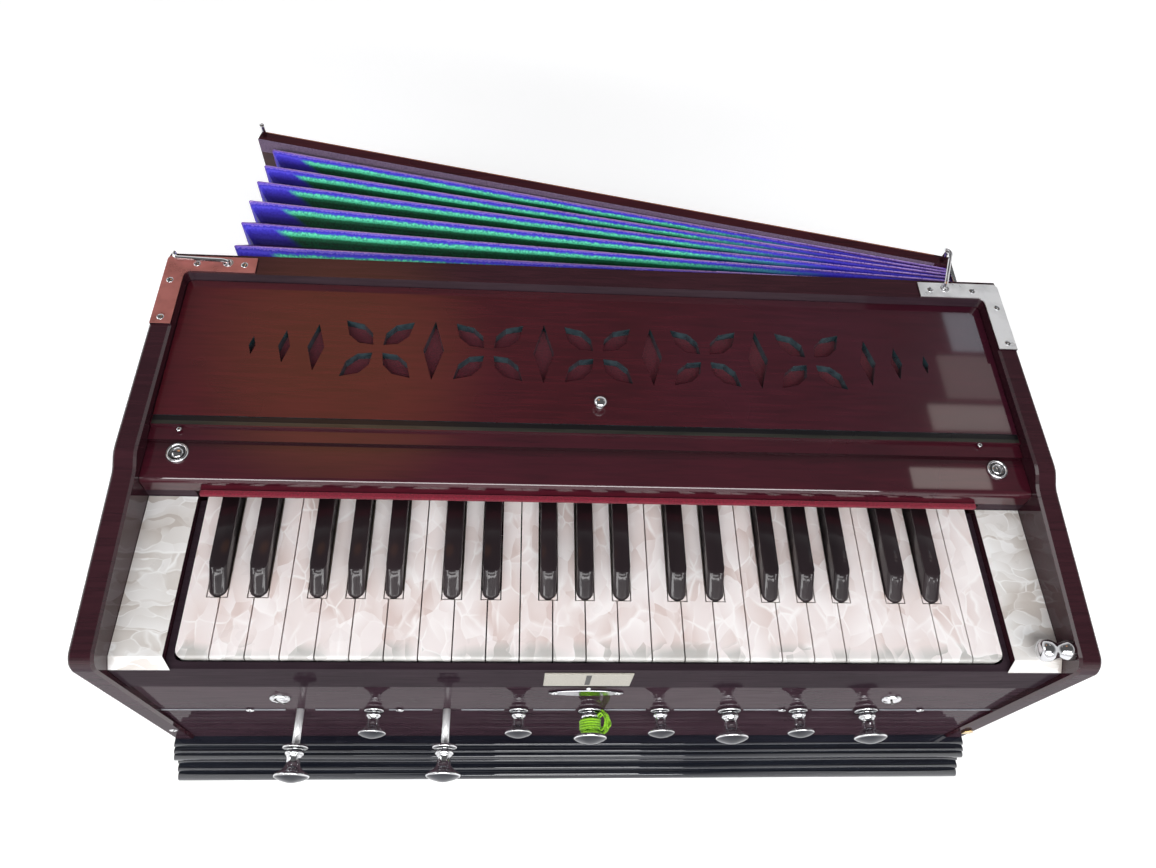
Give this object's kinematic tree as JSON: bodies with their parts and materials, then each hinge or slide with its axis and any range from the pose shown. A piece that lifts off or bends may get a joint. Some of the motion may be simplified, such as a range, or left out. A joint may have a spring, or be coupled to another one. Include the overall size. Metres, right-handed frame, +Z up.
{
  "type": "indian harmonium",
  "caption": "Hand-pumped reed organ: lacquered case, keyboard, row of pull stops, pierced lid and fan of pleated bellows",
  "frame": {"origin": "middle of the base's underside, on the floor plane, under the middle of the case", "axes": "+X to the player's right along the keyboard, +Y from the keys to the bellows, +Z up"},
  "size_m": [0.64, 0.489, 0.2678],
  "materials": {
    "lacquer": "deep maroon high-gloss lacquer",
    "dark_trim": "near-black gloss lacquer",
    "pearl": "marbled white pearl celluloid",
    "ebony": "gloss near-black",
    "chrome": "polished chrome plate",
    "pleat_cloth": "glossy blue and green covered card pleats"
  },
  "bodies": {
    "case": {"base_plinth": "lacquer", "case_body": "lacquer", "key_surround": "dark_trim", "key_cover_rail": "lacquer", "bellows_pleats": "pleat_cloth"},
    "bellows": {"bellows_board": "lacquer"},
    "hook_left": {"latch_hook_left": "chrome"},
    "hook_right": {"latch_hook_right": "chrome"},
    "lid": {"fret_lid": "lacquer"},
    "stop_1": {"stop_1": "chrome"},
    "stop_2": {"stop_2": "chrome"},
    "stop_3": {"stop_3": "chrome"},
    "stop_4": {"stop_4": "chrome"},
    "stop_5": {"stop_5": "chrome"},
    "stop_6": {"stop_6": "chrome"},
    "stop_7": {"stop_7": "chrome"},
    "stop_8": {"stop_8": "chrome"},
    "stop_9": {"stop_9": "chrome"},
    "key_01_white": {"key_01_white": "pearl"},
    "key_02_black": {"key_02_black": "ebony"},
    "key_03_white": {"key_03_white": "pearl"},
    "key_04_black": {"key_04_black": "ebony"},
    "key_05_white": {"key_05_white": "pearl"},
    "key_06_white": {"key_06_white": "pearl"},
    "key_07_black": {"key_07_black": "ebony"},
    "key_08_white": {"key_08_white": "pearl"},
    "key_09_black": {"key_09_black": "ebony"},
    "key_10_white": {"key_10_white": "pearl"},
    "key_11_black": {"key_11_black": "ebony"},
    "key_12_white": {"key_12_white": "pearl"},
    "key_13_white": {"key_13_white": "pearl"},
    "key_14_black": {"key_14_black": "ebony"},
    "key_15_white": {"key_15_white": "pearl"},
    "key_16_black": {"key_16_black": "ebony"},
    "key_17_white": {"key_17_white": "pearl"},
    "key_18_white": {"key_18_white": "pearl"},
    "key_19_black": {"key_19_black": "ebony"},
    "key_20_white": {"key_20_white": "pearl"},
    "key_21_black": {"key_21_black": "ebony"},
    "key_22_white": {"key_22_white": "pearl"},
    "key_23_black": {"key_23_black": "ebony"},
    "key_24_white": {"key_24_white": "pearl"},
    "key_25_white": {"key_25_white": "pearl"},
    "key_26_black": {"key_26_black": "ebony"},
    "key_27_white": {"key_27_white": "pearl"},
    "key_28_black": {"key_28_black": "ebony"},
    "key_29_white": {"key_29_white": "pearl"},
    "key_30_white": {"key_30_white": "pearl"},
    "key_31_black": {"key_31_black": "ebony"},
    "key_32_white": {"key_32_white": "pearl"},
    "key_33_black": {"key_33_black": "ebony"},
    "key_34_white": {"key_34_white": "pearl"},
    "key_35_black": {"key_35_black": "ebony"},
    "key_36_white": {"key_36_white": "pearl"},
    "key_37_white": {"key_37_white": "pearl"},
    "key_38_black": {"key_38_black": "ebony"},
    "key_39_white": {"key_39_white": "pearl"},
    "key_40_black": {"key_40_black": "ebony"},
    "key_41_white": {"key_41_white": "pearl"},
    "key_42_white": {"key_42_white": "pearl"}
  },
  "joints": [
    {"name": "bellows_pump", "type": "hinge", "parent": "case", "child": "bellows", "pos_m": [0.284, 0.1763, 0], "axis": [0, 0, 1], "range_deg": [0, 11.1], "deforming": ["bellows_pleats"]},
    {"name": "hook_left_swing", "type": "hinge", "parent": "case", "child": "hook_left", "pos_m": [-0.2753, 0.1414, 0.265], "axis": [0, 0, -1], "range_deg": [0, 67.6]},
    {"name": "hook_right_swing", "type": "hinge", "parent": "case", "child": "hook_right", "pos_m": [0.2753, 0.1414, 0.265], "axis": [0, 0, -1], "range_deg": [0, 67.6]},
    {"name": "lid_lift", "type": "slide", "parent": "case", "child": "lid", "axis": [0, 0, 1], "range_m": [0, 0.04]},
    {"name": "stop_1_push", "type": "slide", "parent": "case", "child": "stop_1", "axis": [0, 1, 0], "range_m": [0, 0.025]},
    {"name": "stop_2_pull", "type": "slide", "parent": "case", "child": "stop_2", "axis": [0, -1, 0], "range_m": [0, 0.025]},
    {"name": "stop_3_push", "type": "slide", "parent": "case", "child": "stop_3", "axis": [0, 1, 0], "range_m": [0, 0.025]},
    {"name": "stop_4_pull", "type": "slide", "parent": "case", "child": "stop_4", "axis": [0, -1, 0], "range_m": [0, 0.025]},
    {"name": "stop_5_pull", "type": "slide", "parent": "case", "child": "stop_5", "axis": [0, -1, 0], "range_m": [0, 0.025]},
    {"name": "stop_6_pull", "type": "slide", "parent": "case", "child": "stop_6", "axis": [0, -1, 0], "range_m": [0, 0.025]},
    {"name": "stop_7_pull", "type": "slide", "parent": "case", "child": "stop_7", "axis": [0, -1, 0], "range_m": [0, 0.025]},
    {"name": "stop_8_pull", "type": "slide", "parent": "case", "child": "stop_8", "axis": [0, -1, 0], "range_m": [0, 0.025]},
    {"name": "stop_9_pull", "type": "slide", "parent": "case", "child": "stop_9", "axis": [0, -1, 0], "range_m": [0, 0.025]},
    {"name": "key_01_press", "type": "hinge", "parent": "case", "child": "key_01_white", "pos_m": [0, -0.0126, 0.203], "axis": [1, 0, 0], "range_deg": [0, 3.5], "stiffness_Nm_per_rad": 0.3, "springref_deg": -14.32},
    {"name": "key_02_press", "type": "hinge", "parent": "case", "child": "key_02_black", "pos_m": [0, -0.0126, 0.203], "axis": [1, 0, 0], "range_deg": [0, 3.5], "stiffness_Nm_per_rad": 0.3, "springref_deg": -14.32},
    {"name": "key_03_press", "type": "hinge", "parent": "case", "child": "key_03_white", "pos_m": [0, -0.0126, 0.203], "axis": [1, 0, 0], "range_deg": [0, 3.5], "stiffness_Nm_per_rad": 0.3, "springref_deg": -14.32},
    {"name": "key_04_press", "type": "hinge", "parent": "case", "child": "key_04_black", "pos_m": [0, -0.0126, 0.203], "axis": [1, 0, 0], "range_deg": [0, 3.5], "stiffness_Nm_per_rad": 0.3, "springref_deg": -14.32},
    {"name": "key_05_press", "type": "hinge", "parent": "case", "child": "key_05_white", "pos_m": [0, -0.0126, 0.203], "axis": [1, 0, 0], "range_deg": [0, 3.5], "stiffness_Nm_per_rad": 0.3, "springref_deg": -14.32},
    {"name": "key_06_press", "type": "hinge", "parent": "case", "child": "key_06_white", "pos_m": [0, -0.0126, 0.203], "axis": [1, 0, 0], "range_deg": [0, 3.5], "stiffness_Nm_per_rad": 0.3, "springref_deg": -14.32},
    {"name": "key_07_press", "type": "hinge", "parent": "case", "child": "key_07_black", "pos_m": [0, -0.0126, 0.203], "axis": [1, 0, 0], "range_deg": [0, 3.5], "stiffness_Nm_per_rad": 0.3, "springref_deg": -14.32},
    {"name": "key_08_press", "type": "hinge", "parent": "case", "child": "key_08_white", "pos_m": [0, -0.0126, 0.203], "axis": [1, 0, 0], "range_deg": [0, 3.5], "stiffness_Nm_per_rad": 0.3, "springref_deg": -14.32},
    {"name": "key_09_press", "type": "hinge", "parent": "case", "child": "key_09_black", "pos_m": [0, -0.0126, 0.203], "axis": [1, 0, 0], "range_deg": [0, 3.5], "stiffness_Nm_per_rad": 0.3, "springref_deg": -14.32},
    {"name": "key_10_press", "type": "hinge", "parent": "case", "child": "key_10_white", "pos_m": [0, -0.0126, 0.203], "axis": [1, 0, 0], "range_deg": [0, 3.5], "stiffness_Nm_per_rad": 0.3, "springref_deg": -14.32},
    {"name": "key_11_press", "type": "hinge", "parent": "case", "child": "key_11_black", "pos_m": [0, -0.0126, 0.203], "axis": [1, 0, 0], "range_deg": [0, 3.5], "stiffness_Nm_per_rad": 0.3, "springref_deg": -14.32},
    {"name": "key_12_press", "type": "hinge", "parent": "case", "child": "key_12_white", "pos_m": [0, -0.0126, 0.203], "axis": [1, 0, 0], "range_deg": [0, 3.5], "stiffness_Nm_per_rad": 0.3, "springref_deg": -14.32},
    {"name": "key_13_press", "type": "hinge", "parent": "case", "child": "key_13_white", "pos_m": [0, -0.0126, 0.203], "axis": [1, 0, 0], "range_deg": [0, 3.5], "stiffness_Nm_per_rad": 0.3, "springref_deg": -14.32},
    {"name": "key_14_press", "type": "hinge", "parent": "case", "child": "key_14_black", "pos_m": [0, -0.0126, 0.203], "axis": [1, 0, 0], "range_deg": [0, 3.5], "stiffness_Nm_per_rad": 0.3, "springref_deg": -14.32},
    {"name": "key_15_press", "type": "hinge", "parent": "case", "child": "key_15_white", "pos_m": [0, -0.0126, 0.203], "axis": [1, 0, 0], "range_deg": [0, 3.5], "stiffness_Nm_per_rad": 0.3, "springref_deg": -14.32},
    {"name": "key_16_press", "type": "hinge", "parent": "case", "child": "key_16_black", "pos_m": [0, -0.0126, 0.203], "axis": [1, 0, 0], "range_deg": [0, 3.5], "stiffness_Nm_per_rad": 0.3, "springref_deg": -14.32},
    {"name": "key_17_press", "type": "hinge", "parent": "case", "child": "key_17_white", "pos_m": [0, -0.0126, 0.203], "axis": [1, 0, 0], "range_deg": [0, 3.5], "stiffness_Nm_per_rad": 0.3, "springref_deg": -14.32},
    {"name": "key_18_press", "type": "hinge", "parent": "case", "child": "key_18_white", "pos_m": [0, -0.0126, 0.203], "axis": [1, 0, 0], "range_deg": [0, 3.5], "stiffness_Nm_per_rad": 0.3, "springref_deg": -14.32},
    {"name": "key_19_press", "type": "hinge", "parent": "case", "child": "key_19_black", "pos_m": [0, -0.0126, 0.203], "axis": [1, 0, 0], "range_deg": [0, 3.5], "stiffness_Nm_per_rad": 0.3, "springref_deg": -14.32},
    {"name": "key_20_press", "type": "hinge", "parent": "case", "child": "key_20_white", "pos_m": [0, -0.0126, 0.203], "axis": [1, 0, 0], "range_deg": [0, 3.5], "stiffness_Nm_per_rad": 0.3, "springref_deg": -14.32},
    {"name": "key_21_press", "type": "hinge", "parent": "case", "child": "key_21_black", "pos_m": [0, -0.0126, 0.203], "axis": [1, 0, 0], "range_deg": [0, 3.5], "stiffness_Nm_per_rad": 0.3, "springref_deg": -14.32},
    {"name": "key_22_press", "type": "hinge", "parent": "case", "child": "key_22_white", "pos_m": [0, -0.0126, 0.203], "axis": [1, 0, 0], "range_deg": [0, 3.5], "stiffness_Nm_per_rad": 0.3, "springref_deg": -14.32},
    {"name": "key_23_press", "type": "hinge", "parent": "case", "child": "key_23_black", "pos_m": [0, -0.0126, 0.203], "axis": [1, 0, 0], "range_deg": [0, 3.5], "stiffness_Nm_per_rad": 0.3, "springref_deg": -14.32},
    {"name": "key_24_press", "type": "hinge", "parent": "case", "child": "key_24_white", "pos_m": [0, -0.0126, 0.203], "axis": [1, 0, 0], "range_deg": [0, 3.5], "stiffness_Nm_per_rad": 0.3, "springref_deg": -14.32},
    {"name": "key_25_press", "type": "hinge", "parent": "case", "child": "key_25_white", "pos_m": [0, -0.0126, 0.203], "axis": [1, 0, 0], "range_deg": [0, 3.5], "stiffness_Nm_per_rad": 0.3, "springref_deg": -14.32},
    {"name": "key_26_press", "type": "hinge", "parent": "case", "child": "key_26_black", "pos_m": [0, -0.0126, 0.203], "axis": [1, 0, 0], "range_deg": [0, 3.5], "stiffness_Nm_per_rad": 0.3, "springref_deg": -14.32},
    {"name": "key_27_press", "type": "hinge", "parent": "case", "child": "key_27_white", "pos_m": [0, -0.0126, 0.203], "axis": [1, 0, 0], "range_deg": [0, 3.5], "stiffness_Nm_per_rad": 0.3, "springref_deg": -14.32},
    {"name": "key_28_press", "type": "hinge", "parent": "case", "child": "key_28_black", "pos_m": [0, -0.0126, 0.203], "axis": [1, 0, 0], "range_deg": [0, 3.5], "stiffness_Nm_per_rad": 0.3, "springref_deg": -14.32},
    {"name": "key_29_press", "type": "hinge", "parent": "case", "child": "key_29_white", "pos_m": [0, -0.0126, 0.203], "axis": [1, 0, 0], "range_deg": [0, 3.5], "stiffness_Nm_per_rad": 0.3, "springref_deg": -14.32},
    {"name": "key_30_press", "type": "hinge", "parent": "case", "child": "key_30_white", "pos_m": [0, -0.0126, 0.203], "axis": [1, 0, 0], "range_deg": [0, 3.5], "stiffness_Nm_per_rad": 0.3, "springref_deg": -14.32},
    {"name": "key_31_press", "type": "hinge", "parent": "case", "child": "key_31_black", "pos_m": [0, -0.0126, 0.203], "axis": [1, 0, 0], "range_deg": [0, 3.5], "stiffness_Nm_per_rad": 0.3, "springref_deg": -14.32},
    {"name": "key_32_press", "type": "hinge", "parent": "case", "child": "key_32_white", "pos_m": [0, -0.0126, 0.203], "axis": [1, 0, 0], "range_deg": [0, 3.5], "stiffness_Nm_per_rad": 0.3, "springref_deg": -14.32},
    {"name": "key_33_press", "type": "hinge", "parent": "case", "child": "key_33_black", "pos_m": [0, -0.0126, 0.203], "axis": [1, 0, 0], "range_deg": [0, 3.5], "stiffness_Nm_per_rad": 0.3, "springref_deg": -14.32},
    {"name": "key_34_press", "type": "hinge", "parent": "case", "child": "key_34_white", "pos_m": [0, -0.0126, 0.203], "axis": [1, 0, 0], "range_deg": [0, 3.5], "stiffness_Nm_per_rad": 0.3, "springref_deg": -14.32},
    {"name": "key_35_press", "type": "hinge", "parent": "case", "child": "key_35_black", "pos_m": [0, -0.0126, 0.203], "axis": [1, 0, 0], "range_deg": [0, 3.5], "stiffness_Nm_per_rad": 0.3, "springref_deg": -14.32},
    {"name": "key_36_press", "type": "hinge", "parent": "case", "child": "key_36_white", "pos_m": [0, -0.0126, 0.203], "axis": [1, 0, 0], "range_deg": [0, 3.5], "stiffness_Nm_per_rad": 0.3, "springref_deg": -14.32},
    {"name": "key_37_press", "type": "hinge", "parent": "case", "child": "key_37_white", "pos_m": [0, -0.0126, 0.203], "axis": [1, 0, 0], "range_deg": [0, 3.5], "stiffness_Nm_per_rad": 0.3, "springref_deg": -14.32},
    {"name": "key_38_press", "type": "hinge", "parent": "case", "child": "key_38_black", "pos_m": [0, -0.0126, 0.203], "axis": [1, 0, 0], "range_deg": [0, 3.5], "stiffness_Nm_per_rad": 0.3, "springref_deg": -14.32},
    {"name": "key_39_press", "type": "hinge", "parent": "case", "child": "key_39_white", "pos_m": [0, -0.0126, 0.203], "axis": [1, 0, 0], "range_deg": [0, 3.5], "stiffness_Nm_per_rad": 0.3, "springref_deg": -14.32},
    {"name": "key_40_press", "type": "hinge", "parent": "case", "child": "key_40_black", "pos_m": [0, -0.0126, 0.203], "axis": [1, 0, 0], "range_deg": [0, 3.5], "stiffness_Nm_per_rad": 0.3, "springref_deg": -14.32},
    {"name": "key_41_press", "type": "hinge", "parent": "case", "child": "key_41_white", "pos_m": [0, -0.0126, 0.203], "axis": [1, 0, 0], "range_deg": [0, 3.5], "stiffness_Nm_per_rad": 0.3, "springref_deg": -14.32},
    {"name": "key_42_press", "type": "hinge", "parent": "case", "child": "key_42_white", "pos_m": [0, -0.0126, 0.203], "axis": [1, 0, 0], "range_deg": [0, 3.5], "stiffness_Nm_per_rad": 0.3, "springref_deg": -14.32}
  ]
}
